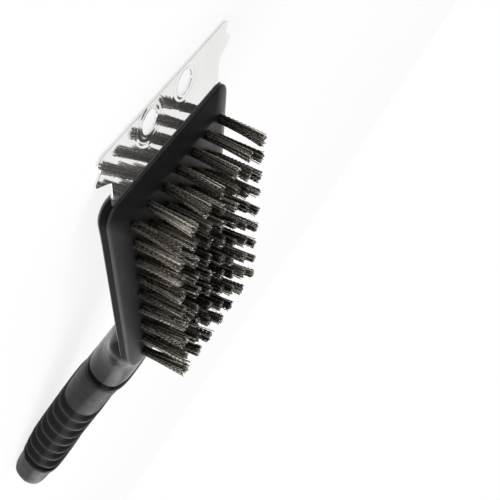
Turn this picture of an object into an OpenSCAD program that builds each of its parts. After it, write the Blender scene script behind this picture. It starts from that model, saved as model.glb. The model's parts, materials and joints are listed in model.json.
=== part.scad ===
// Grill cleaning brush: a wire-bristle head with a forked scraper plate, on a ribbed handle.
// It is drawn with the bristle face level at z = 0, and then laid on its back as it rests on a table.

/* [Tufts] */
// Rows of tufts along the head
tuft_rows = 9; // [9:1:9]
// Tufts in each row
tuft_columns = 7; // [5:1:7]
// Distance between the tufts of a row, half way along the head
column_pitch = 8; // [7.5:0.1:8.2]
// Distance between rows
row_pitch = 7.9; // [7.5:0.1:8]
// Height of the tufts over the bristle face
tuft_height = 15.3; // [10:0.1:22]
// Diameter of a tuft where it leaves the head
tuft_root_d = 3.6; // [3:0.1:4]
// Diameter of a tuft at its tip
tuft_tip_d = 5.2; // [3.8:0.1:5.5]
// Depth of the tuft holes
tuft_hole_depth = 5.6; // [5:0.1:5.8]

/* [Head] */
// Half the head's width, half way along
head_half_w = 31.4; // [30:0.1:33]
// Angle of each side wall to the head's centre line
side_angle = 3.2; // [2:0.1:4]
// Front wall of the head, from its middle
head_front = 41; // [40:0.1:42]
// Rear wall of the head, from its middle
head_rear = 38.5; // [38:0.1:40]
// Depth of the seam between bristle block and back cover, under the bristle face
seam_depth = 3.5; // [3:0.1:4]
// Depth of the grooved back panel under the bristle face
panel_depth = 8.8; // [8.5:0.1:9.5]
// Depth of the raised front bar under the bristle face
bar_depth = 9.9; // [9.5:0.1:11]
// Where the front bar ends and the panel starts
bar_end = 20.8; // [18:0.1:24]
// Number of grooves in the back panel
panel_grooves = 9; // [5:1:11]

/* [Scraper] */
// Thickness of the steel sheet
blade_t = 0.8; // [0.6:0.1:1]
// Front edge of the scraper, from the head's middle
blade_front = 62.1; // [60:0.1:64]
// Half the length of the front edge
blade_edge_half = 33.2; // [32:0.1:34]
// Half the width of the scraper's neck
blade_neck_half = 29.6; // [28:0.1:30]
// Radius of the two holes
blade_hole_r = 3.8; // [3:0.1:4]
// Distance of each hole from the centre line
blade_hole_x = 9.6; // [9:0.1:12]

/* [Handle] */
// Angle of the handle to the bristle face
handle_angle = 23.5; // [23:0.1:24]
// Half the width of the grip, from ridge to ridge
grip_half_w = 15.1; // [14:0.1:16]
// Half the depth of the grip
grip_half_d = 8.2; // [7.8:0.1:8.8]
// Number of ribs round the grip
grip_ribs = 7; // [5:1:9]
// Distance between ribs
rib_pitch = 9.6; // [9:0.1:10.5]
// Height of the ribs over the grip's smooth part
rib_crest = 1.2; // [0.5:0.05:1.5]
// Depth of the valleys between ribs, under the grip's smooth part
rib_valley = 0.9; // [0.3:0.1:1.2]

/* [Hidden] */
$fn = 32;

// Resting attitude: the head dips until the scraper's edge and the handle's end are level.
rest_tilt = 17.88;
rest_shift = [0, 78.983, 22.789];

// Head outline
taper = tan(side_angle);
fan = taper / head_half_w;
front_corner_r = 5;
rear_corner_r = 8.5;
corner_steps = 8;
clear = 0.05;

// Block and cover profiles from the top down, as [depth under the face, inset from the outline]
block_profile = [[0, 7], [0.74, 4.5], [1.61, 2], [2.35, 0], [seam_depth, 0]];
cover_profile = [[seam_depth + 0.5, 0], [5.5, 0], [6.7, 1.1], [7.6, 2.5], [8.4, 4.2], [panel_depth, 6]];
bar_profile = [[seam_depth + 0.5, 0], [5.6, 0], [7.1, 1.3], [8.4, 3.2], [9.4, 5.3], [bar_depth, 7.6]];
seam_reveal = 0.35;
core_depth = 6.4;
core_inset = 4.6;
core_front = 33.9;
core_rear = -34.4;
panel_end = -28.5;
groove_w = 1.2;
groove_depth = 0.6;
groove_spacing = 5.2;

// Scraper outline and fixings
tang_rear = 34.4;
pin_r = 1.5;
pin_y = 37.6;
pin_spacing = 14;
pin_top = -2.1;
dowel_r = 1.5;
dowel_rows = [20.25, -4.2, -20.25];
hole_y = blade_front - 5.9;

// Anchors
anchor_w = 3.5;
anchor_t = 0.5;
anchor_h = 1.3;

// Handle frame: local -Y runs along the handle, and the core lies axis_lift over the head's origin.
axis_lift = 5.2;
core_r = 5.5;
core_start = 57;
ring_start = 81.8;
grip_start = 86.2;
ribs_start = 115.2;
ribs_end = ribs_start + grip_ribs * rib_pitch;
cap_start = ribs_end + 5.2;
cap_end = ribs_end + 34.1;
core_end = cap_end - 14;
side_ridge = 0.13;
ridge_share = 0.56;

// ---- outlines ----

function half_w(y) = head_half_w + taper * y;

// Points of one rounded corner, seen from its own centre
function corner(x, y, r, from, to) = [for (i = [0:corner_steps])
    let (a = from + (to - from) * i / corner_steps)
    [x + r * cos(a), y + r * sin(a)]];

// The head seen from above, drawn in by an inset all round
function outline_points(inset) =
    let (
        fr = front_corner_r,
        rr = rear_corner_r,
        fx = half_w(head_front) - inset - fr,
        fy = head_front - inset - fr,
        rx = half_w(-head_rear) - inset - rr,
        ry = -head_rear + inset + rr,
        side = -side_angle
    )
    concat(
        corner(rx, ry, rr, -90, side),
        corner(fx, fy, fr, side, 90),
        corner(-fx, fy, fr, 90, 180 - side),
        corner(-rx, ry, rr, 180 - side, 270)
    );

module outline(inset) {
    polygon(outline_points(inset));
}

// A closed skin through rings of equally many points, each ring clockwise about the way to the next
module skin(rings) {
    last = len(rings) - 1;
    sides = len(rings[0]);
    walls = [for (k = [0:last - 1]) for (i = [0:sides - 1])
        let (j = (i + 1) % sides, a = k * sides, b = a + sides)
        each [[a + i, a + j, b + j], [a + i, b + j, b + i]]];
    first_cap = [for (i = [sides - 1:-1:0]) i];
    last_cap = [for (i = [0:sides - 1]) last * sides + i];
    polyhedron([for (ring = rings) each ring], concat([first_cap], walls, [last_cap]), convexity = 6);
}

// A rounded slab through all the steps of a profile, from the top down
module slab(profile) {
    skin([for (step = profile) [for (p = outline_points(step[1])) [p[0], p[1], -step[0]]]]);
}

module core_outline(grow = 0) {
    polygon([
        [half_w(core_front) - core_inset + grow, core_front + grow],
        [-half_w(core_front) + core_inset - grow, core_front + grow],
        [-half_w(core_rear) + core_inset - grow + 5, core_rear - grow],
        [half_w(core_rear) - core_inset + grow - 5, core_rear - grow]
    ]);
}

// ---- lofted shapes ----

// A point of a section of unit size: flat top and bottom, and sides that meet in a soft ridge
function section_point(angle, ridge, p) =
    let (
        x = cos(angle),
        z = sin(angle),
        reach = pow(pow(abs(z), p) + pow(abs(x) + ridge * abs(z), p), 1 / p)
    )
    [x, z] / reach;

// A station is [bottom point, top point, half width, ridge, squareness, share of the way up to the
// ridge]; points are [y, z].
function station_ring(st, sides) =
    let (middle = st[0] + (st[1] - st[0]) * st[5])
    [for (i = [0:sides - 1])
        let (
            q = section_point(-360 * (i + 0.5) / sides, st[3], st[4]),
            at = middle + (q[1] > 0 ? st[1] - middle : middle - st[0]) * q[1]
        )
        [st[2] * q[0], at[0], at[1]]];

module loft(stations, sides) {
    skin([for (st = stations) station_ring(st, sides)]);
}

// Catmull-Rom blend between four stations
function blend(a, b, c, d, t) =
    0.5 * ((2 * b) + (c - a) * t + (2 * a - 5 * b + 4 * c - d) * t * t
    + (3 * b - a - 3 * c + d) * t * t * t);

function smooth_stations(list, steps) =
    let (n = len(list) - 1)
    concat(
        [for (k = [0:n - 1]) for (s = [0:steps - 1])
            let (
                a = list[max(k - 1, 0)],
                b = list[k],
                c = list[k + 1],
                d = list[min(k + 2, n)],
                t = s / steps
            )
            [for (i = [0:len(b) - 1]) blend(a[i], b[i], c[i], d[i], t)]],
        [list[n]]
    );

// The middle of the handle sags a little behind the ring and rises again at the end.
function ease(t) = let (c = min(max(t, 0), 1)) c * c * (3 - 2 * c);
function axis_n(s) = 4.7 + 1.7 * exp((84 - s) / 18) + 0.9 * ease((s - 165) / 24);

// A station across the handle, in the handle's own frame
function handle_station(s, w, d, p = 4.2, ridge = side_ridge) =
    let (n = axis_n(s) - axis_lift)
    [[-s, n - d], [-s, n + d], w, ridge, p, ridge_share];

module in_handle() {
    rotate([handle_angle, 0, 0])
        translate([0, 0, axis_lift])
            children();
}

module handle_bore(from, to, r) {
    in_handle()
        translate([0, -from, 0])
            rotate([90, 0, 0])
                cylinder(h = to - from, r = r, $fn = 48);
}

// The neck, from inside the back cover to the ring
function along(s, n) = [
    -s * cos(handle_angle) - n * sin(handle_angle),
    -s * sin(handle_angle) + n * cos(handle_angle)
];
neck_low = -1.4;
neck_high = 13.9;
neck_stations = [
    [[-27.5, -7.6], [-28.5, -4.6], 24, 0, 12, 0.5],
    [[-32.5, -12.2], [-35.5, -2.6], 25.2, 0.02, 9, 0.5],
    [[-37.5, -16.6], [-41, -2.6], 25.2, 0.06, 7, 0.5],
    [along(47.5, neck_low), along(49.5, neck_high), 22.2, 0.1, 5.4, 0.51],
    [along(55, neck_low), along(56, neck_high), 19, 0.11, 4.4, 0.53],
    [along(64, neck_low), along(64, neck_high), 16.8, 0.11, 3.8, 0.55],
    [along(73, neck_low - 0.3), along(73, neck_high + 0.3), 15.4, 0.11, 3.6, ridge_share],
    [along(ring_start, neck_low - 0.5), along(ring_start, neck_high + 0.5), 14.7, 0.11, 3.6, ridge_share]
];

// ---- tuft grid ----

function row_y(row) = ((tuft_rows + 1) / 2 - row) * row_pitch;
function column_x(column, y) = (column - (tuft_columns + 1) / 2) * column_pitch * (1 + fan * y);

module each_tuft(row) {
    y = row_y(row);
    for (column = [1:tuft_columns])
        translate([column_x(column, y), y, 0])
            children();
}

module anchor_shape(grow) {
    translate([0, 0, -tuft_hole_depth + anchor_h / 2 - grow / 2])
        cube([anchor_w + grow, anchor_t + grow, anchor_h + grow], center = true);
}

// ---- sub-parts ----

module laid_down() {
    translate(rest_shift)
        rotate([-rest_tilt, 0, 0])
            children();
}

module bristle_block() {
    color("#2b2b2e")
        laid_down()
            difference() {
                union() {
                    slab(block_profile);
                    translate([0, 0, -core_depth])
                        linear_extrude(core_depth - 1)
                            core_outline();
                }
                for (row = [1:tuft_rows])
                    each_tuft(row)
                        translate([0, 0, -tuft_hole_depth])
                            cylinder(h = tuft_hole_depth + 1, d = tuft_root_d + 2 * clear);
                translate([0, tang_rear, -seam_depth])
                    blade_slot();
                blade_pin_set(clear);
                dowel_set(clear);
            }
}

module blade_slot() {
    depth = blade_t + 2 * clear;
    translate([-blade_neck_half - clear, -clear, -depth / 2])
        cube([2 * (blade_neck_half + clear), 20, depth]);
}

module back_cover() {
    color("#26262a")
        laid_down()
            difference() {
                union() {
                    slab(cover_profile);
                    intersection() {
                        slab(bar_profile);
                        translate([-50, bar_end, -20])
                            cube([100, 50, 20]);
                    }
                    translate([0, 0, -seam_depth - 0.6])
                        linear_extrude(0.6)
                            outline(seam_reveal);
                    loft(smooth_stations(neck_stations, 4), 48);
                }
                block_space();
                core_pocket();
                panel_groove_set();
                translate([0, tang_rear, -seam_depth])
                    blade_slot();
                blade_pin_set(clear);
                dowel_set(clear);
                handle_bore(core_start, ring_start + 1, core_r);
            }
}

module block_space() {
    translate([0, 0, -seam_depth])
        linear_extrude(10)
            outline(0);
}

module core_pocket() {
    translate([0, 0, -core_depth - 0.1])
        linear_extrude(core_depth)
            core_outline(0.1);
}

module panel_groove_set() {
    for (i = [0:panel_grooves - 1])
        translate([(i - (panel_grooves - 1) / 2) * groove_spacing - groove_w / 2, panel_end + 3, -panel_depth - 1])
            cube([groove_w, bar_end - panel_end - 5, 1 + groove_depth]);
}

module blade_outline() {
    half = [
        [blade_neck_half, tang_rear],
        [blade_neck_half, 49.4],
        [30.6, 50.8],
        [36.2, 53.8],
        [36.8, 54.5],
        [36.6, 55.1],
        [33.6, 57.7],
        [35.2, 60],
        [35.1, 60.9],
        [blade_edge_half, blade_front]
    ];
    last = len(half) - 1;
    polygon(concat(half, [for (i = [last:-1:0]) [-half[i][0], half[i][1]]]));
}

module scraper_blade() {
    color("#d9dadc")
        laid_down()
            difference() {
                translate([0, 0, -seam_depth - blade_t / 2])
                    linear_extrude(blade_t)
                        blade_outline();
                for (side = [-1, 1])
                    translate([side * blade_hole_x, hole_y, -seam_depth - blade_t])
                        cylinder(h = 2 * blade_t, r = blade_hole_r, $fn = 64);
                blade_pin_set(clear);
            }
}

module blade_pin_set(grow) {
    for (i = [-1.5:1:1.5])
        translate([i * pin_spacing, pin_y, -core_depth])
            cylinder(h = core_depth + pin_top + grow, r = pin_r + grow);
}

module blade_pins() {
    color("#9a9da2")
        laid_down()
            blade_pin_set(0);
}

module dowel_set(grow) {
    for (y = dowel_rows)
        for (side = [-1, 1])
            translate([side * 1.5 * column_pitch, y, -panel_depth + 1.2 - grow])
                cylinder(h = 3 + 2 * grow, r = dowel_r + grow);
}

module block_dowels() {
    color("#3a3a3e")
        laid_down()
            dowel_set(0);
}

module tuft_row(row) {
    color("#6f685f")
        laid_down()
            each_tuft(row)
                difference() {
                    union() {
                        translate([0, 0, -tuft_hole_depth])
                            cylinder(h = tuft_hole_depth, d = tuft_root_d);
                        cylinder(h = tuft_height, d1 = tuft_root_d, d2 = tuft_tip_d);
                    }
                    anchor_shape(2 * clear);
                }
}

module anchor_row(row) {
    color("#b9bcc0")
        laid_down()
            each_tuft(row)
                anchor_shape(0);
}

module neck_ring() {
    bulge = [[0, 0], [0.5, 0.6], [1.6, 0.88], [2.8, 0.85], [3.8, 0.3], [4.3, -0.1]];
    stations = [for (b = bulge)
        handle_station(ring_start + b[0], 14.6 + b[1], 8.1 + 0.65 * b[1], 3.6, 0.11)];
    color("#1c1c1f")
        laid_down()
            difference() {
                in_handle()
                    loft(stations, 48);
                handle_bore(ring_start - 1, grip_start + 1, core_r);
            }
}

module handle_core() {
    color("#44454a")
        laid_down()
            handle_bore(core_start, core_end, core_r - clear);
}

// Height of the grip over its smooth part: the ribs, and a lip at the end
function rib_wave(s) =
    s > ribs_end ? -rib_valley + (0.65 + rib_valley) * ease((s - ribs_end) / 1.8)
    : -rib_valley + (rib_crest + rib_valley) * sin(180 * (s - ribs_start) / rib_pitch) ^ 2;

function grip_station(s, h) = handle_station(s, grip_half_w + h, grip_half_d + 0.72 * h);

module grip_sleeve() {
    step = rib_pitch / 8;
    stations = [
        grip_station(grip_start, -0.4),
        grip_station(grip_start + 0.6, 0),
        for (s = [grip_start + 6:6:ribs_start - 3]) grip_station(s, 0),
        grip_station(ribs_start - 1.2, 0),
        for (s = [ribs_start:step:ribs_end + 0.1]) grip_station(s, rib_wave(s)),
        grip_station(ribs_end + 1.8, 0.65),
        grip_station(cap_start - 1.4, 0.6),
        grip_station(cap_start, -0.5)
    ];
    color("#202023")
        laid_down()
            difference() {
                in_handle()
                    loft(stations, 48);
                handle_bore(grip_start - 1, cap_start + 1, core_r);
            }
}

module end_cap() {
    straight = 16.4;
    dome = cap_end - cap_start - straight;
    w = 14.6;
    d = 8.3;
    stations = [
        handle_station(cap_start, w, d),
        for (a = [0:10:80])
            let (k = cos(a) ^ 0.67)
            handle_station(cap_start + straight + dome * sin(a), w * k, d * k),
        handle_station(cap_end, 2, 1.1)
    ];
    color("#2e2e32")
        laid_down()
            difference() {
                in_handle()
                    loft(stations, 48);
                handle_bore(cap_start - 1, core_end, core_r);
            }
}

bristle_block();
back_cover();
scraper_blade();
blade_pins();
block_dowels();
tuft_row(1);  // tuft_row_1
tuft_row(2);  // tuft_row_2
tuft_row(3);  // tuft_row_3
tuft_row(4);  // tuft_row_4
tuft_row(5);  // tuft_row_5
tuft_row(6);  // tuft_row_6
tuft_row(7);  // tuft_row_7
tuft_row(8);  // tuft_row_8
tuft_row(9);  // tuft_row_9
anchor_row(1);  // anchor_row_1
anchor_row(2);  // anchor_row_2
anchor_row(3);  // anchor_row_3
anchor_row(4);  // anchor_row_4
anchor_row(5);  // anchor_row_5
anchor_row(6);  // anchor_row_6
anchor_row(7);  // anchor_row_7
anchor_row(8);  // anchor_row_8
anchor_row(9);  // anchor_row_9
neck_ring();
handle_core();
grip_sleeve();
end_cap();
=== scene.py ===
"""The looks of a grill cleaning brush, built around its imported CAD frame.

Shapes are written in millimetres in the head's own frame: X across the head, +Y towards the scraper,
+Z along the bristles, with the bristle face at z = 0. TO_ROW turns them into the row frame in metres.
"""

import json
import math
import random

import bmesh
import bpy
import numpy as np
from mathutils import Matrix, Vector

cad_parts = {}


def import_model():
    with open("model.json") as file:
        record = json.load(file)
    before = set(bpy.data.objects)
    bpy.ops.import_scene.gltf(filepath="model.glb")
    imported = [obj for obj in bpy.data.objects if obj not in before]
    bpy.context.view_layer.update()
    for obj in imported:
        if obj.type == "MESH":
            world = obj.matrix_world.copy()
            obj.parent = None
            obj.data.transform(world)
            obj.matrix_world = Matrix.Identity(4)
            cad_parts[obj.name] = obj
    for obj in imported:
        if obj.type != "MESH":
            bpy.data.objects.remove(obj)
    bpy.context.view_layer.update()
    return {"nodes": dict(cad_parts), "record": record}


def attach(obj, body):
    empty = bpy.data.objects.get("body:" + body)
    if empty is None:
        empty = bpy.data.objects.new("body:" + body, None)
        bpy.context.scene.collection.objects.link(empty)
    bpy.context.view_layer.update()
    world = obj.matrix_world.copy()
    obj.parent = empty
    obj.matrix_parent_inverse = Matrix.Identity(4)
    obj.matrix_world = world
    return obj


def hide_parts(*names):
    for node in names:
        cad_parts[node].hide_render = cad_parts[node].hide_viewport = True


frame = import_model()
record = frame["record"]

# ---- the head's frame, from the two hanging holes ----

MM = 0.001
HOLE_IN_HEAD = Vector((0, 56.2, -3.5))
mounts = {m["name"]: m for m in record["mounts"]}
hole_left, hole_right = mounts["blade_hole_left"], mounts["blade_hole_right"]
hole_axis = Vector(hole_left["axis"])
tilt = math.atan2(hole_axis.y, hole_axis.z)
holes_middle = (Vector(hole_left["pos_m"]) + Vector(hole_right["pos_m"])) / 2
head_turn = Matrix.Rotation(-tilt, 4, "X")
head_origin = holes_middle - head_turn @ (HOLE_IN_HEAD * MM)
TO_ROW = Matrix.Translation(head_origin) @ head_turn @ Matrix.Scale(MM, 4)

# ---- sizes in millimetres that several pieces share ----

ROWS, COLUMNS = 9, 7
PITCH_X, PITCH_Y = 8.0, 7.9
HEAD_HALF_W = 31.4
SIDE_ANGLE = 3.2
TAPER = math.tan(math.radians(SIDE_ANGLE))
HEAD_FRONT, HEAD_REAR = 41.0, 38.5
SEAM = 3.5
BLADE_T = 0.8
HANDLE_ANGLE = math.radians(23.5)
RING_START, GRIP_START, RIBS_START = 81.8, 86.2, 115.2
RIB_COUNT, RIB_PITCH = 7, 9.6
RIBS_END = RIBS_START + RIB_COUNT * RIB_PITCH
CAP_START, CAP_END = RIBS_END + 5.2, RIBS_END + 34.1
CORNER_STEPS, HANDLE_SIDES = 16, 120


# ---- mesh helpers ----

def build(name, points, faces, to_row=True):
    """A mesh object from points in the head's millimetres."""
    mesh = bpy.data.meshes.new(name)
    mesh.from_pydata([tuple(p) for p in points], [], faces)
    mesh.update()
    obj = bpy.data.objects.new(name, mesh)
    bpy.context.scene.collection.objects.link(obj)
    if to_row:
        mesh.transform(TO_ROW)
    return obj


def shade(obj, angle):
    """Smooth shading, with edges sharper than the angle kept crisp."""
    bm = bmesh.new()
    bm.from_mesh(obj.data)
    bmesh.ops.recalc_face_normals(bm, faces=bm.faces)
    bm.to_mesh(obj.data)
    bm.free()
    obj.data.shade_smooth()
    obj.data.set_sharp_from_angle(angle=math.radians(angle))


def skin(rings):
    """Points and faces of a closed skin through rings of equally many points."""
    sides = len(rings[0])
    points = [p for ring in rings for p in ring]
    faces = []
    for k in range(len(rings) - 1):
        for i in range(sides):
            j = (i + 1) % sides
            faces.append((k * sides + i, k * sides + j, (k + 1) * sides + j, (k + 1) * sides + i))
    faces.append(tuple(range(sides - 1, -1, -1)))
    faces.append(tuple((len(rings) - 1) * sides + i for i in range(sides)))
    return points, faces


def apply_modifiers(obj):
    """Puts the result of the modifiers into the object's own mesh."""
    depsgraph = bpy.context.evaluated_depsgraph_get()
    mesh = bpy.data.meshes.new_from_object(obj.evaluated_get(depsgraph))
    obj.modifiers.clear()
    old = obj.data
    obj.data = mesh
    bpy.data.meshes.remove(old)


def cut(obj, tool, operation="DIFFERENCE"):
    """Takes the tool's solid out of the object or adds it, and removes the tool.

    Known fault: the tools for the tuft holes and the grooves are inside out, so only their outlines are left
    on the surface and nothing is taken out.
    """
    mod = obj.modifiers.new("cut", "BOOLEAN")
    mod.operation = operation
    mod.solver = "EXACT"
    mod.object = tool
    apply_modifiers(obj)
    bpy.data.objects.remove(tool)


def join(name, parts):
    """One object from several, with their meshes side by side."""
    bm = bmesh.new()
    for part in parts:
        bm.from_mesh(part.data)
    mesh = bpy.data.meshes.new(name)
    bm.to_mesh(mesh)
    bm.free()
    for part in parts:
        bpy.data.objects.remove(part)
    obj = bpy.data.objects.new(name, mesh)
    bpy.context.scene.collection.objects.link(obj)
    return obj


def circle(x, y, r, sides):
    """Points of a circle, counterclockwise."""
    return [(x + r * math.cos(a), y + r * math.sin(a))
            for a in np.linspace(0, 2 * math.pi, sides, endpoint=False)]


# ---- outlines and sections ----

def half_w(y):
    """Half the head's width at a distance along it."""
    return HEAD_HALF_W + TAPER * y


def corner(x, y, r, start, end):
    """Points of a rounded corner between two angles in degrees."""
    turn = [math.radians(start + (end - start) * i / CORNER_STEPS) for i in range(CORNER_STEPS + 1)]
    return [(x + r * math.cos(a), y + r * math.sin(a)) for a in turn]


def head_outline(inset, rear=-HEAD_REAR, front_r=5.2, rear_r=8.5):
    """The head seen from above, drawn in all round."""
    fx, fy = half_w(HEAD_FRONT) - inset - front_r, HEAD_FRONT - inset - front_r
    rx, ry = half_w(rear) - inset - rear_r, rear + inset + rear_r
    side = -SIDE_ANGLE
    return (
        corner(rx, ry, rear_r, -90, side)
        + corner(fx, fy, front_r, side, 90)
        + corner(-fx, fy, front_r, 90, 180 - side)
        + corner(-rx, ry, rear_r, 180 - side, 270)
    )


RIDGE, RIDGE_SHARE, RIDGE_SOFTNESS = 0.13, 0.56, 0.12


def section(angle, ridge, p):
    """A point of a section of unit size: flat top and bottom, and sides that meet in a soft ridge."""
    x, z = math.cos(angle), math.sin(angle)
    soft = math.hypot(z, RIDGE_SOFTNESS) - RIDGE_SOFTNESS
    reach = (abs(z) ** p + (abs(x) + ridge * soft) ** p) ** (1 / p)
    return x / reach, z / reach


def station_ring(bottom, top, w, ridge, p, share):
    """A ring between two points of the middle plane; its ridge lies at a share of the way up."""
    bottom, top = Vector(bottom), Vector(top)
    middle = bottom.lerp(top, share)
    ring = []
    for i in range(HANDLE_SIDES):
        x, z = section(2 * math.pi * (i + 0.5) / HANDLE_SIDES, ridge, p)
        at = middle + (top - middle if z > 0 else middle - bottom) * z
        ring.append((w * x, at.x, at.y))
    return ring


def along(s, n):
    """A point of the middle plane, s along the handle's line and n over it."""
    c, k = math.cos(HANDLE_ANGLE), math.sin(HANDLE_ANGLE)
    return -s * c - n * k, -s * k + n * c


def smoothstep(x, low, high):
    """Zero up to low, one from high, and a soft rise between them."""
    t = np.clip((x - low) / (high - low), 0, 1)
    return t * t * (3 - 2 * t)


AXIS_N, NECK_RISE, NECK_RISE_AT, NECK_RISE_LENGTH = 4.7, 1.7, 84, 18
END_RISE, END_RISE_FROM, END_RISE_TO = 0.9, 165, 189


def axis_n(s):
    """The middle of the handle: it sags a little behind the ring and rises again at the end."""
    rise = END_RISE * float(smoothstep(s, END_RISE_FROM, END_RISE_TO))
    return AXIS_N + NECK_RISE * math.exp((NECK_RISE_AT - s) / NECK_RISE_LENGTH) + rise


def handle_ring(s, w, d, p=4.2, ridge=RIDGE, drop=0.0):
    """A section square to the handle, with its half width and half depth."""
    n = axis_n(s) - drop
    return station_ring(along(s, n - d), along(s, n + d), w, ridge, p, RIDGE_SHARE)


def catmull(values, steps):
    """Smooth in-between values through a list of equally long lists."""
    values = np.array(values, float)
    out = []
    for k in range(len(values) - 1):
        a, b = values[max(k - 1, 0)], values[k]
        c, d = values[k + 1], values[min(k + 2, len(values) - 1)]
        for i in range(steps):
            t = i / steps
            out.append(0.5 * (2 * b + (c - a) * t + (2 * a - 5 * b + 4 * c - d) * t * t
                              + (3 * b - a - 3 * c + d) * t ** 3))
    out.append(values[-1])
    return out


# ---- materials ----

def new_material(name):
    """A material, its nodes and links, and its shader."""
    mat = bpy.data.materials.new(name)
    mat.use_nodes = True
    nodes, links = mat.node_tree.nodes, mat.node_tree.links
    return mat, nodes, links, nodes["Principled BSDF"]


def object_coords(nodes):
    """The piece's own coordinates, which move with it."""
    return nodes.new("ShaderNodeTexCoord").outputs["Object"]


def noise(nodes, links, coords, scale, detail, stretch=None):
    """A noise between 0 and 1, which stretch makes streaky."""
    tex = nodes.new("ShaderNodeTexNoise")
    tex.inputs["Scale"].default_value = scale
    tex.inputs["Detail"].default_value = detail
    if stretch:
        mapping = nodes.new("ShaderNodeMapping")
        mapping.inputs["Scale"].default_value = stretch
        links.new(coords, mapping.inputs["Vector"])
        coords = mapping.outputs["Vector"]
    links.new(coords, tex.inputs["Vector"])
    return tex.outputs["Fac"]


def ramp(nodes, links, value, stops):
    """A colour for each value, between stops of place and colour."""
    node = nodes.new("ShaderNodeValToRGB")
    while len(node.color_ramp.elements) < len(stops):
        node.color_ramp.elements.new(0.5)
    for element, (at, color) in zip(node.color_ramp.elements, stops):
        element.position = at
        element.color = (*color, 1)
    links.new(value, node.inputs["Fac"])
    return node.outputs["Color"]


def to_range(nodes, links, value, low, high, out_low, out_high):
    """The value mapped from one range to another, and kept inside it."""
    node = nodes.new("ShaderNodeMapRange")
    for key, number in (("From Min", low), ("From Max", high), ("To Min", out_low), ("To Max", out_high)):
        node.inputs[key].default_value = number
    links.new(value, node.inputs["Value"])
    return node.outputs["Result"]


def bump(nodes, links, bsdf, height, distance):
    """Relief on the shader's normal, its depth in metres."""
    node = nodes.new("ShaderNodeBump")
    node.inputs["Strength"].default_value = 1.0
    node.inputs["Distance"].default_value = distance
    links.new(height, node.inputs["Height"])
    links.new(node.outputs["Normal"], bsdf.inputs["Normal"])


CLOUD_SCALE, WEAR_SCALE, SPECK_SCALE, GRAIN_SCALE = 90, 260, 2200, 2600
TONE_LOW, TONE_HIGH, GLOSS_LOW, GLOSS_HIGH = 0.8, 1.2, -0.05, 0.07
DUST_FROM, DUST_TO, DUST_COVER = 0.82, 0.86, 0.25
DUST_COLOR = (0.35, 0.35, 0.36, 1)


def plastic(name, tone, rough, grain=0.00003, dust=0.0, specular=0.5):
    """Moulded black plastic: fine grain, cloudy gloss, and a few pale specks of dust."""
    mat, nodes, links, bsdf = new_material(name)
    coords = object_coords(nodes)
    cloud = noise(nodes, links, coords, CLOUD_SCALE, 3)
    base = ramp(nodes, links, cloud, [(0.3, [c * TONE_LOW for c in tone]),
                                      (0.7, [c * TONE_HIGH for c in tone])])
    if dust:
        specks = noise(nodes, links, coords, SPECK_SCALE, 0)
        mask = to_range(nodes, links, specks, DUST_FROM - dust, DUST_TO - dust, 0.0, DUST_COVER)
        mix = nodes.new("ShaderNodeMix")
        mix.data_type = "RGBA"
        mix.inputs["B"].default_value = DUST_COLOR
        links.new(mask, mix.inputs["Factor"])
        links.new(base, mix.inputs["A"])
        base = mix.outputs["Result"]
    links.new(base, bsdf.inputs["Base Color"])
    wear = noise(nodes, links, coords, WEAR_SCALE, 6)
    gloss = to_range(nodes, links, wear, 0.3, 0.7, rough + GLOSS_LOW, rough + GLOSS_HIGH)
    links.new(gloss, bsdf.inputs["Roughness"])
    bump(nodes, links, bsdf, noise(nodes, links, coords, GRAIN_SCALE, 2), grain)
    bsdf.inputs["Specular IOR Level"].default_value = specular
    return mat


def distance_to(nodes, links, coords, place):
    """The distance to a place, in metres."""
    node = nodes.new("ShaderNodeVectorMath")
    node.operation = "DISTANCE"
    node.inputs[1].default_value = place
    links.new(coords, node.inputs[0])
    return node.outputs["Value"]


def combine(nodes, links, operation, a, b):
    """One maths node of two values, each an output or a plain number."""
    node = nodes.new("ShaderNodeMath")
    node.operation = operation
    for socket, value in zip(node.inputs, (a, b)):
        if isinstance(value, (int, float)):
            socket.default_value = value
        else:
            links.new(value, socket)
    return node.outputs["Value"]


RIPPLE_TURN, RIPPLE_FROM, RIPPLE_TO, RIPPLE_SIZE = 3300.0, 0.004, 0.0095, 2.7
WAVE_SCALE, WAVE_SIZE, SHEET_RELIEF = 30, 3.0, 0.000006


def polished_sheet(name):
    """Thin stainless sheet: nearly a mirror, a little wavy, with stamping rings round its holes."""
    mat, nodes, links, bsdf = new_material(name)
    coords = object_coords(nodes)
    bsdf.inputs["Metallic"].default_value = 0.9
    cloud = noise(nodes, links, coords, 60, 2)
    links.new(ramp(nodes, links, cloud, [(0.3, (0.84, 0.84, 0.83)), (0.7, (0.89, 0.89, 0.88))]),
              bsdf.inputs["Base Color"])
    lines = noise(nodes, links, coords, 500, 3, stretch=(1.0, 0.02, 0.02))
    links.new(to_range(nodes, links, lines, 0.3, 0.7, 0.03, 0.07), bsdf.inputs["Roughness"])
    wave = noise(nodes, links, coords, WAVE_SCALE, 0)
    height = combine(nodes, links, "MULTIPLY", wave, WAVE_SIZE)
    for hole in (hole_left, hole_right):
        reach = distance_to(nodes, links, coords, hole["pos_m"])
        turn = combine(nodes, links, "MULTIPLY", reach, RIPPLE_TURN)
        ripple = combine(nodes, links, "SINE", turn, 0.0)
        fade = to_range(nodes, links, reach, RIPPLE_FROM, RIPPLE_TO, RIPPLE_SIZE, 0.0)
        height = combine(nodes, links, "ADD", height, combine(nodes, links, "MULTIPLY", ripple, fade))
    bump(nodes, links, bsdf, height, SHEET_RELIEF)
    return mat


FILM_SCALE, FILM_SHARE = 1400, 0.5
WIRE_TONES = [(0.25, (0.02, 0.017, 0.014)), (0.6, (0.24, 0.215, 0.18)), (0.95, (0.90, 0.86, 0.78))]


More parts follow.
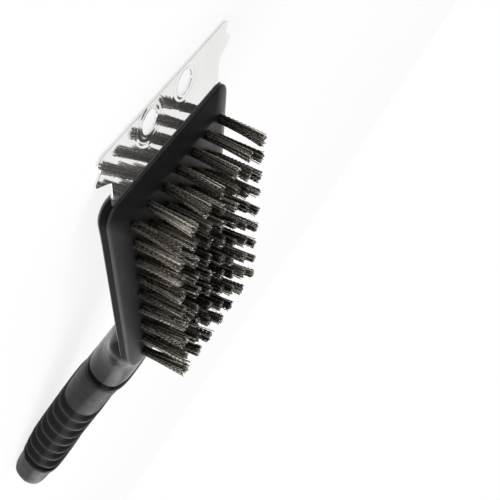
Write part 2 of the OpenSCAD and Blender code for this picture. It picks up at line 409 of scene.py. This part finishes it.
def bristle_wire(name):
    """Crimped steel wire with a brown oxide film, each wire in its own tone, with painted shade towards the
    roots.
    """
    mat, nodes, links, bsdf = new_material(name)
    coords = object_coords(nodes)
    tone = nodes.new("ShaderNodeAttribute")
    tone.attribute_name = "tone"
    film = noise(nodes, links, coords, FILM_SCALE, 3)
    shift = nodes.new("ShaderNodeMath")
    shift.operation = "MULTIPLY_ADD"
    shift.inputs[1].default_value = FILM_SHARE
    links.new(film, shift.inputs[0])
    links.new(tone.outputs["Fac"], shift.inputs[2])
    links.new(ramp(nodes, links, shift.outputs["Value"], WIRE_TONES), bsdf.inputs["Base Color"])
    bsdf.inputs["Metallic"].default_value = 0.95
    links.new(to_range(nodes, links, film, 0.3, 0.7, 0.22, 0.40), bsdf.inputs["Roughness"])
    return mat


def plain_steel(name):
    """Steel of the pegs and anchors, brushed and a little dull."""
    mat, nodes, links, bsdf = new_material(name)
    coords = object_coords(nodes)
    bsdf.inputs["Metallic"].default_value = 1.0
    fine = noise(nodes, links, coords, 800, 3)
    links.new(ramp(nodes, links, fine, [(0.3, (0.42, 0.42, 0.42)), (0.7, (0.58, 0.58, 0.58))]),
              bsdf.inputs["Base Color"])
    links.new(to_range(nodes, links, fine, 0.3, 0.7, 0.25, 0.4), bsdf.inputs["Roughness"])
    return mat


def finish_piece(obj, material, slot_name, *nodes):
    """Gives a new piece its material and its body, and hides the CAD nodes that it stands for; the slot name is
    not used.
    """
    obj.data.materials.clear()
    obj.data.materials.append(material)
    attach(obj, "root")
    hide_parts(*nodes)


BLOCK = plastic("block_black", (0.012, 0.011, 0.013), 0.40, dust=0.02, specular=0.42)
COVER = plastic("cover_black", (0.008, 0.0075, 0.0085), 0.20, grain=0.000006, specular=0.045)
RING = plastic("ring_black", (0.002, 0.002, 0.0025), 0.26, grain=0.000005, specular=0.03)
GRIP = plastic("grip_black", (0.006, 0.006, 0.0065), 0.42, grain=0.00002, specular=0.09)
CAP = plastic("cap_black", (0.011, 0.0108, 0.0115), 0.38, grain=0.00002, specular=0.10)
CORE = plastic("core_grey", (0.06, 0.06, 0.065), 0.5)
BLADE = polished_sheet("scraper_steel")
WIRE = bristle_wire("bristle_wire")
STEEL = plain_steel("pin_steel")


# ---- bristle block ----

RIM_WIDTH, RIM_DEPTH, RIM_STEPS, RIM_CURVE = 7.0, 2.35, 10, 1.12
BLOCK_CORNER_R = 5.6
HOLE_R, HOLE_DEPTH, HOLE_SIDES = 1.85, 2.6, 20
SLOT_HALF_W, SLOT_BACK, SLOT_FRONT, SLOT_GAP = 30.1, 36, 46, 0.15


def grid():
    """Row number, column number and place of every tuft."""
    for row in range(1, ROWS + 1):
        y = ((ROWS + 1) / 2 - row) * PITCH_Y
        for column in range(1, COLUMNS + 1):
            yield row, column, (column - (COLUMNS + 1) / 2) * PITCH_X * (1 + TAPER / HEAD_HALF_W * y), y


def bristle_block():
    """The moulding that the tufts stand in, with a chamfered rim, the outlines of the tuft holes and a slot for
    the scraper."""
    profile = [(RIM_WIDTH + 0.7, 0.0)]
    for i in range(RIM_STEPS + 1):
        inset = RIM_WIDTH * (1 - i / RIM_STEPS)
        profile.append((max(inset, 0.12), RIM_DEPTH * (1 - inset / RIM_WIDTH) ** RIM_CURVE))
    profile += [(0.0, RIM_DEPTH + 0.13), (0.0, SEAM - 0.2), (0.22, SEAM)]
    rings = [[(x, y, -depth) for x, y in head_outline(inset, front_r=BLOCK_CORNER_R)]
             for inset, depth in profile]
    block = build("block_moulding", *skin(rings), to_row=False)
    lathe = [(0.5, HOLE_R + 0.6), (0.0, HOLE_R + 0.22), (-0.25, HOLE_R), (-HOLE_DEPTH, HOLE_R)]
    tools = []
    for _, _, x, y in grid():
        rings = [[(*point, z) for point in circle(x, y, r, HOLE_SIDES)] for z, r in lathe]
        tools.append(build("hole", *skin(rings), to_row=False))
    cut(block, join("holes", tools))
    slot = ((SLOT_HALF_W, SLOT_BACK), (SLOT_HALF_W, SLOT_FRONT),
            (-SLOT_HALF_W, SLOT_FRONT), (-SLOT_HALF_W, SLOT_BACK))
    slot_top = SEAM - BLADE_T / 2 - SLOT_GAP
    rings = [[(x, y, z) for x, y in slot] for z in (-SEAM - 1, -slot_top)]
    cut(block, build("slot", *skin(rings), to_row=False))
    block.data.transform(TO_ROW)
    shade(block, 28)
    finish_piece(block, BLOCK, "block_plastic", "bristle_block")


# ---- back cover with its neck ----

PANEL_DEPTH, BAR_DEPTH, BAR_END = 8.8, 9.9, 20.8
GROOVES, GROOVE_SPACING, GROOVE_REAR, GROOVE_FRONT = 9, 5.2, -25.5, 18.8
BEVEL_STEPS, NECK_STEPS = 10, 8
NECK_LOW, NECK_HIGH = -1.7, 13.9
# Stations of the neck: its lowest and highest point as y and z, half width, ridge, squareness and the
# ridge's share of the way up.
NECK = [
    (-27.5, -7.6, -28.5, -4.6, 24.0, 0, 12, 0.5),
    (-32.5, -12.2, -35.5, -2.6, 25.2, 0.02, 9, 0.5),
    (-37.5, -16.6, -41, -2.6, 25.2, 0.06, 4.6, 0.5),
    (*along(47.5, NECK_LOW), *along(49.5, NECK_HIGH), 22.3, 0.10, 3.3, 0.51),
    (*along(55, NECK_LOW), *along(56, NECK_HIGH), 19.1, 0.11, 3.1, 0.53),
    (*along(64, NECK_LOW), *along(64, NECK_HIGH), 16.8, 0.11, 3.2, 0.55),
    (*along(73, NECK_LOW - 0.3), *along(73, NECK_HIGH + 0.3), 15.4, 0.11, 3.6, 0.56),
    (*along(RING_START, NECK_LOW - 0.5), *along(RING_START, NECK_HIGH + 0.5), 14.7, 0.11, 3.6,
     RIDGE_SHARE),
]


def bevelled_profile(depth_from, depth_to, width):
    """A broad soft bevel as pairs of inset and depth, steepest at its outer end."""
    shares = [i / BEVEL_STEPS for i in range(BEVEL_STEPS + 1)]
    return [(width * u ** 1.25, depth_from + (depth_to - depth_from) * (1 - (1 - u) ** 1.5))
            for u in shares]


def back_cover():
    """The shell under the block: a slab, a front bar and a panel marked with the outlines of its grooves, which
    run out into the neck."""
    slab = [(0.25, SEAM + 0.05), (0.0, SEAM + 0.35)] + bevelled_profile(5.5, PANEL_DEPTH, 6.0)
    rings = [[(x, y, -depth) for x, y in head_outline(inset)] for inset, depth in slab]
    cover = build("cover_moulding", *skin(rings), to_row=False)
    bar = [(0.4, SEAM + 0.4), (0.02, 5.0)] + bevelled_profile(5.6, BAR_DEPTH, 7.6)
    rings = []
    for inset, depth in bar:
        outline = head_outline(max(inset, 0.01), rear=BAR_END - 0.8 + 0.2 * inset, rear_r=1.2)
        rings.append([(x, y, -depth) for x, y in outline])
    cut(cover, build("bar", *skin(rings), to_row=False), "UNION")
    rings = []
    for y0, z0, y1, z1, w, ridge, p, share in catmull(NECK, NECK_STEPS):
        rings.append(station_ring((y0, z0), (y1, z1), w, ridge, p, share))
    cut(cover, build("neck", *skin(rings), to_row=False), "UNION")
    ends = ((1, GROOVE_REAR), (1, GROOVE_FRONT), (-1, GROOVE_FRONT), (-1, GROOVE_REAR))
    grooves = []
    for i in range(GROOVES):
        x = (i - (GROOVES - 1) / 2) * GROOVE_SPACING
        rings = [[(x + side * wide, y, -PANEL_DEPTH + z) for side, y in ends]
                 for z, wide in ((0.55, 0.32), (-0.05, 0.6), (-0.5, 0.8))]
        grooves.append(build("groove", *skin(rings), to_row=False))
    cut(cover, join("grooves", grooves))
    cover.data.transform(TO_ROW)
    shade(cover, 30)
    finish_piece(cover, COVER, "cover_plastic", "back_cover")


# ---- scraper ----

SCRAPER_HOLE_R, SCRAPER_HOLE_X, SCRAPER_HOLE_SIDES = 3.8, 9.6, 72
EDGE_ROUND = 0.13
# One side of the scraper from its tang over the fork to its front edge.
SCRAPER_SIDE = [
    (29.6, 34.4), (29.6, 48.9), (29.8, 49.9), (30.6, 50.6), (36.2, 53.6), (36.75, 54.1), (36.8, 54.7),
    (36.4, 55.3), (34.9, 56.5), (34.1, 57.5), (34.0, 58.4), (34.5, 59.3), (35.2, 60.2), (35.1, 60.9),
    (33.2, 62.1),
]


def scraper():
    """The sheet steel plate with forked ends and two holes."""
    outline = SCRAPER_SIDE + [(-x, y) for x, y in reversed(SCRAPER_SIDE)]
    rings = [[(x, y, -SEAM + side * BLADE_T / 2) for x, y in outline] for side in (-1, 1)]
    blade = build("scraper_plate", *skin(rings), to_row=False)
    tools = []
    for side in (-1, 1):
        around = circle(side * SCRAPER_HOLE_X, HOLE_IN_HEAD.y, SCRAPER_HOLE_R, SCRAPER_HOLE_SIDES)
        rings = [[(x, y, -SEAM + level) for x, y in around] for level in (-2, 2)]
        tools.append(build("hole", *skin(rings), to_row=False))
    cut(blade, join("holes", tools))
    mod = blade.modifiers.new("edges", "BEVEL")
    mod.width = EDGE_ROUND
    mod.segments = 2
    mod.limit_method = "ANGLE"
    mod.angle_limit = math.radians(60)
    apply_modifiers(blade)
    shade(blade, 28)
    # The two broad faces are shaded flat, so that they mirror without a bend.
    for face in blade.data.polygons:
        face.use_smooth = abs(face.normal.z) < 0.999
    blade.data.transform(TO_ROW)
    finish_piece(blade, BLADE, "blade_steel", "scraper_blade")


# ---- wire tufts ----

TUFT_HEIGHT, BELOW_FACE = 15.35, 2.4
TUFT_ROOT_R = 1.7
TIP_R_FRONT, TIP_R_NEAR, TIP_R_FAR = 2.15, 2.4, 1.4
FRONT_ROWS, REAR_ROWS_AFTER = 3, 5
LEAN_ACROSS, LEAN_ALONG, FRONT_LEAN, REAR_LEAN = -0.3, -0.2, -0.6, 0.25
WIRES_PER_TUFT, WIRE_R, WIRE_SIDES, WIRE_STATIONS = 58, 0.145, 5, 26
CRIMP, TIP_SCATTER, STRAY_SHARE, STRAY_SCATTER = 0.23, 0.26, 0.05, 2.6
GOLDEN_ANGLE, ROOT_GAP, BEND_CURVE = 2.39996, 0.08, 1.4
# How much the tufts and wires differ from one another.
FIRST_SEED = 900
LEAN_SCATTER, SPREAD_RANGE, TUFT_TONE_SPREAD = (0.3, 0.25), (0.9, 1.12), 0.05
CUT_SCATTER, WAVE_RANGE, TURN_SCATTER = 0.35, (0.9, 1.15), 0.2
WIRE_TONE, WIRE_TONE_SPREAD, WIRE_TONE_TOP = 0.23, 0.27, 0.8
# Painted shade on the wires: their tone is scaled from 0.15 at the bristle face up to 1.1 at the tips.
PAINTED_ROOT_SHADE, PAINTED_SHADE_RISE = 0.15, 0.95


def wire_centre(rng, root, lean, spread):
    """The middle line of one crimped wire, from inside its hole to its cut end."""
    top = TUFT_HEIGHT - abs(rng.gauss(0, CUT_SCATTER))
    stray = 1.0 if rng.random() > STRAY_SHARE else STRAY_SCATTER
    end_x = root[0] * spread + lean[0] + rng.gauss(0, TIP_SCATTER) * stray
    end_y = root[1] * spread + lean[1] + rng.gauss(0, TIP_SCATTER) * stray
    facing = rng.uniform(0, 2 * math.pi)
    phase = rng.uniform(0, 2)
    wave = rng.uniform(*WAVE_RANGE)
    centre = []
    for k in range(WIRE_STATIONS):
        t = k / (WIRE_STATIONS - 1)
        z = -BELOW_FACE + t * (top + BELOW_FACE)
        bend = (max(z, 0) / top) ** BEND_CURVE
        zigzag = CRIMP * (abs((k * wave + phase) % 2 - 1) * 2 - 1)
        x = root[0] + (end_x - root[0]) * bend + zigzag * math.cos(facing)
        y = root[1] + (end_y - root[1]) * bend + zigzag * math.sin(facing)
        centre.append((x, y, z))
    return centre


def tuft_row(row):
    """One row of tufts: the front rows lean back, the rear rows a little forward. Behind the front rows the
    tufts get narrower towards the far side."""
    rng = random.Random(FIRST_SEED + row)
    lean_along = (LEAN_ALONG + FRONT_LEAN * max(FRONT_ROWS + 1 - row, 0)
                  + REAR_LEAN * max(row - REAR_ROWS_AFTER, 0))
    around = circle(0, 0, WIRE_R, WIRE_SIDES)
    points, faces, tones_with_painted_shade = [], [], []
    for number, column, cx, cy in grid():
        if number != row:
            continue
        lean = (rng.gauss(LEAN_ACROSS, LEAN_SCATTER[0]), rng.gauss(lean_along, LEAN_SCATTER[1]))
        tuft_tone = rng.gauss(0, TUFT_TONE_SPREAD)
        across = (column - 1) / (COLUMNS - 1)
        tip_r = TIP_R_FRONT if row <= FRONT_ROWS else TIP_R_NEAR + (TIP_R_FAR - TIP_R_NEAR) * across
        spread = rng.uniform(*SPREAD_RANGE) * tip_r / TUFT_ROOT_R
        for i in range(WIRES_PER_TUFT):
            reach = (TUFT_ROOT_R - WIRE_R - ROOT_GAP) * math.sqrt((i + 0.5) / WIRES_PER_TUFT)
            turn = i * GOLDEN_ANGLE + rng.uniform(-TURN_SCATTER, TURN_SCATTER)
            root = (reach * math.cos(turn), reach * math.sin(turn))
            tone = min(max(rng.gauss(WIRE_TONE, WIRE_TONE_SPREAD) + tuft_tone, 0), WIRE_TONE_TOP)
            base = len(points)
            centre = wire_centre(rng, root, lean, spread)
            for x, y, z in centre:
                points += [(cx + x + a, cy + y + b, z) for a, b in around]
                height = min(max(z, 0) / TUFT_HEIGHT, 1)
                # Painted shade: the wire's tone gets darker towards its root.
                tones_with_painted_shade += [tone * (PAINTED_ROOT_SHADE + PAINTED_SHADE_RISE * height)] * WIRE_SIDES
            for k in range(len(centre) - 1):
                for s in range(WIRE_SIDES):
                    e = (s + 1) % WIRE_SIDES
                    low, high = base + k * WIRE_SIDES, base + (k + 1) * WIRE_SIDES
                    faces.append((low + s, low + e, high + e, high + s))
            faces.append(tuple(base + s for s in range(WIRE_SIDES - 1, -1, -1)))
            faces.append(tuple(base + (len(centre) - 1) * WIRE_SIDES + s for s in range(WIRE_SIDES)))
    tufts = build(f"wire_tufts_{row}", points, faces)
    tufts.data.shade_smooth()
    tufts.data.set_sharp_from_angle(angle=math.radians(75))
    attribute = tufts.data.attributes.new("tone", "FLOAT", "POINT")
    attribute.data.foreach_set("value", tones_with_painted_shade)
    finish_piece(tufts, WIRE, "bristle_wire", f"tuft_row_{row}")


# ---- handle ----

RING_W, RING_D, RING_SHARE_D = 14.6, 8.1, 0.65
GRIP_W, GRIP_D = 15.1, 8.2
CAP_W, CAP_D, CAP_STRAIGHT, CAP_DROP, CAP_CURVE = 14.6, 8.08, 16.4, 0.2, 0.67
DOME_STEPS, DOME_TURN = 21, math.radians(88)
RIB_CREST, RIB_GROWTH, RIB_VALLEY, LIP = 0.85, 0.08, -1.6, 1.2
RIB_SHARE_W, RIB_SHARE_D, RIB_STEPS = 0.62, 0.75, 20


def neck_ring():
    """The thin ring between neck and grip, highest near the grip."""
    bulge = [(0.1, -0.6), (0.1, -0.1), (0.5, 0.12), (1.2, 0.42), (2.0, 0.72), (2.8, 0.88), (3.3, 0.8),
             (3.7, 0.45), (4.0, -0.1), (4.3, -0.5)]
    rings = [handle_ring(RING_START + s, RING_W + b, RING_D + b * RING_SHARE_D, p=3.6, ridge=0.11)
             for s, b in bulge]
    ring = build("neck_ring_moulding", *skin(rings))
    shade(ring, 40)
    finish_piece(ring, RING, "ring_plastic", "neck_ring")


def rib_height(s):
    """Height of the grip over its smooth part: seven ribs, and a lip at the end."""
    if s > RIBS_END:
        return RIB_VALLEY + (LIP - RIB_VALLEY) * float(smoothstep(s, RIBS_END, RIBS_END + 1.8))
    turn = (s - RIBS_START) / RIB_PITCH
    return RIB_VALLEY + (RIB_CREST + RIB_GROWTH * turn - RIB_VALLEY) * math.sin(math.pi * turn) ** 2


def grip():
    """The sleeve: a smooth part, then the ribs, then a lip where the cap starts."""
    stations = [(GRIP_START, -1.0), (GRIP_START, -0.35), (GRIP_START + 0.25, -0.1),
                (GRIP_START + 0.7, 0.0)]
    stations += [(s, 0.0) for s in np.linspace(GRIP_START + 3, RIBS_START - 2.1, 12)]
    stations += [(RIBS_START - 1.6, -0.06), (RIBS_START - 1.1, -0.3), (RIBS_START - 0.5, -0.95)]
    for i in range(int(RIB_COUNT * RIB_STEPS + 1.9 * RIB_STEPS / RIB_PITCH) + 1):
        s = RIBS_START + i * RIB_PITCH / RIB_STEPS
        stations.append((s, rib_height(s)))
    stations += [(CAP_START - 1.6, LIP), (CAP_START - 1.1, 0.85), (CAP_START - 0.6, 0.45),
                 (CAP_START - 0.25, -0.1), (CAP_START - 0.05, -0.9), (CAP_START - 0.05, -1.6)]
    rings = [handle_ring(s, GRIP_W + RIB_SHARE_W * h, GRIP_D + RIB_SHARE_D * h) for s, h in stations]
    sleeve = build("grip_sleeve_moulding", *skin(rings))
    shade(sleeve, 50)
    finish_piece(sleeve, GRIP, "grip_rubber", "grip_sleeve")


def end_cap():
    """The smooth end: a straight part and a dome."""
    w, d = CAP_W, CAP_D
    dome_start = CAP_START + CAP_STRAIGHT
    dome = CAP_END - CAP_START - CAP_STRAIGHT
    stations = [(CAP_START, w - 1.2, d - 1.2), (CAP_START, w - 0.3, d - 0.3), (CAP_START + 0.3, w, d)]
    stations += [(s, w, d) for s in np.linspace(CAP_START + 2, dome_start - 1, 6)]
    for i in range(DOME_STEPS + 1):
        a = DOME_TURN * i / DOME_STEPS
        share = math.cos(a) ** CAP_CURVE
        stations.append((dome_start + dome * math.sin(a), w * share, d * share))
    rings = [handle_ring(s, wide, deep, drop=CAP_DROP) for s, wide, deep in stations]
    cap = build("end_cap_moulding", *skin(rings))
    shade(cap, 50)
    finish_piece(cap, CAP, "cap_plastic", "end_cap")


def hidden_pieces():
    """The CAD nodes inside the brush keep their shape and get their materials."""
    for name, node in frame["nodes"].items():
        if name.startswith("anchor") or name == "blade_pins":
            material = STEEL
        elif name == "handle_core":
            material = CORE
        elif name == "block_dowels":
            material = BLOCK
        else:
            continue
        node.data.materials.clear()
        node.data.materials.append(material)


# ---- stage ----

CAMERA_EYE = Vector((-199.2, 258.3, 119.0))
CAMERA_RIGHT = Vector((0.4634, 0.0345, 0.8855))
CAMERA_DOWN = Vector((-0.6532, -0.662, 0.3676))
CAMERA_LENS = 79.2
FLOOR_R, FLOOR_SIDES, FLOOR_TONE, FLOOR_GLOW = 6.0, 96, 0.22, 0.82
# Patches of the sky: direction, the cosines at a patch's edge and where it is full, and its brightness there
# as a share of the room's.
SKY_PATCHES = [
    ((0.45, 0.25, 0.85), 0.66, 0.88, 0.05),
    ((-0.88, 0.42, 0.05), 0.55, 0.8, 0.02),
    ((-0.25, -0.88, 0.40), 0.90, 0.97, 3.6),
]


def camera():
    """The camera in front of the head, on its near side and over the bristles."""
    right, down = CAMERA_RIGHT.normalized(), CAMERA_DOWN.normalized()
    forward = right.cross(down)
    turn = Matrix((right, -down, -forward)).transposed().to_4x4()
    cam_data = bpy.data.cameras.new("camera")
    cam_data.lens = CAMERA_LENS
    cam_data.sensor_width = 36
    cam_data.clip_start = 0.01
    cam = bpy.data.objects.new("camera", cam_data)
    bpy.context.scene.collection.objects.link(cam)
    cam.matrix_world = Matrix.Translation(TO_ROW @ CAMERA_EYE) @ head_turn @ turn
    bpy.context.scene.camera = cam


def floor():
    """A plain white floor."""
    points = [(x, y, 0) for x, y in circle(0, 0, FLOOR_R, FLOOR_SIDES)]
    ground = build("floor", points, [tuple(range(FLOOR_SIDES))], to_row=False)
    mat, _, _, bsdf = new_material("floor_white")
    bsdf.inputs["Base Color"].default_value = (FLOOR_TONE, FLOOR_TONE, FLOOR_TONE, 1)
    bsdf.inputs["Roughness"].default_value = 0.9
    bsdf.inputs["Specular IOR Level"].default_value = 0.0
    bsdf.inputs["Emission Color"].default_value = (1, 1, 1, 1)
    bsdf.inputs["Emission Strength"].default_value = FLOOR_GLOW
    ground.data.materials.append(mat)


def world():
    """A white room with two dark soft patches and a bright one, so that black plastic keeps its shape."""
    scene = bpy.context.scene
    scene.world = bpy.data.worlds.new("studio")
    scene.world.use_nodes = True
    nodes, links = scene.world.node_tree.nodes, scene.world.node_tree.links
    background = nodes["Background"]
    background.inputs["Color"].default_value = (1, 1, 1, 1)
    coords = nodes.new("ShaderNodeTexCoord").outputs["Generated"]
    level = None
    for axis, outer, inner, middle in SKY_PATCHES:
        dot = nodes.new("ShaderNodeVectorMath")
        dot.operation = "DOT_PRODUCT"
        dot.inputs[1].default_value = Vector(axis).normalized()
        links.new(coords, dot.inputs[0])
        share = to_range(nodes, links, dot.outputs["Value"], outer, inner, 1.0, middle)
        level = combine(nodes, links, "MULTIPLY", level, share) if level else share
    links.new(level, background.inputs["Strength"])
    scene.view_settings.view_transform = "Standard"


def softbox(name, at, target, size, power):
    """A rectangular area light that faces its target."""
    light = bpy.data.lights.new(name, "AREA")
    light.shape = "RECTANGLE"
    light.size, light.size_y = size
    light.energy = power
    obj = bpy.data.objects.new(name, light)
    bpy.context.scene.collection.objects.link(obj)
    obj.location = at
    obj.rotation_euler = (Vector(target) - Vector(at)).to_track_quat("-Z", "Y").to_euler()


camera()
floor()
world()
softbox("side_box", (-0.9, -0.35, 0.35), (0, 0, 0.02), (0.7, 0.5), 6)

bristle_block()
back_cover()
scraper()
for row_number in range(1, ROWS + 1):
    tuft_row(row_number)
neck_ring()
grip()
end_cap()
hidden_pieces()
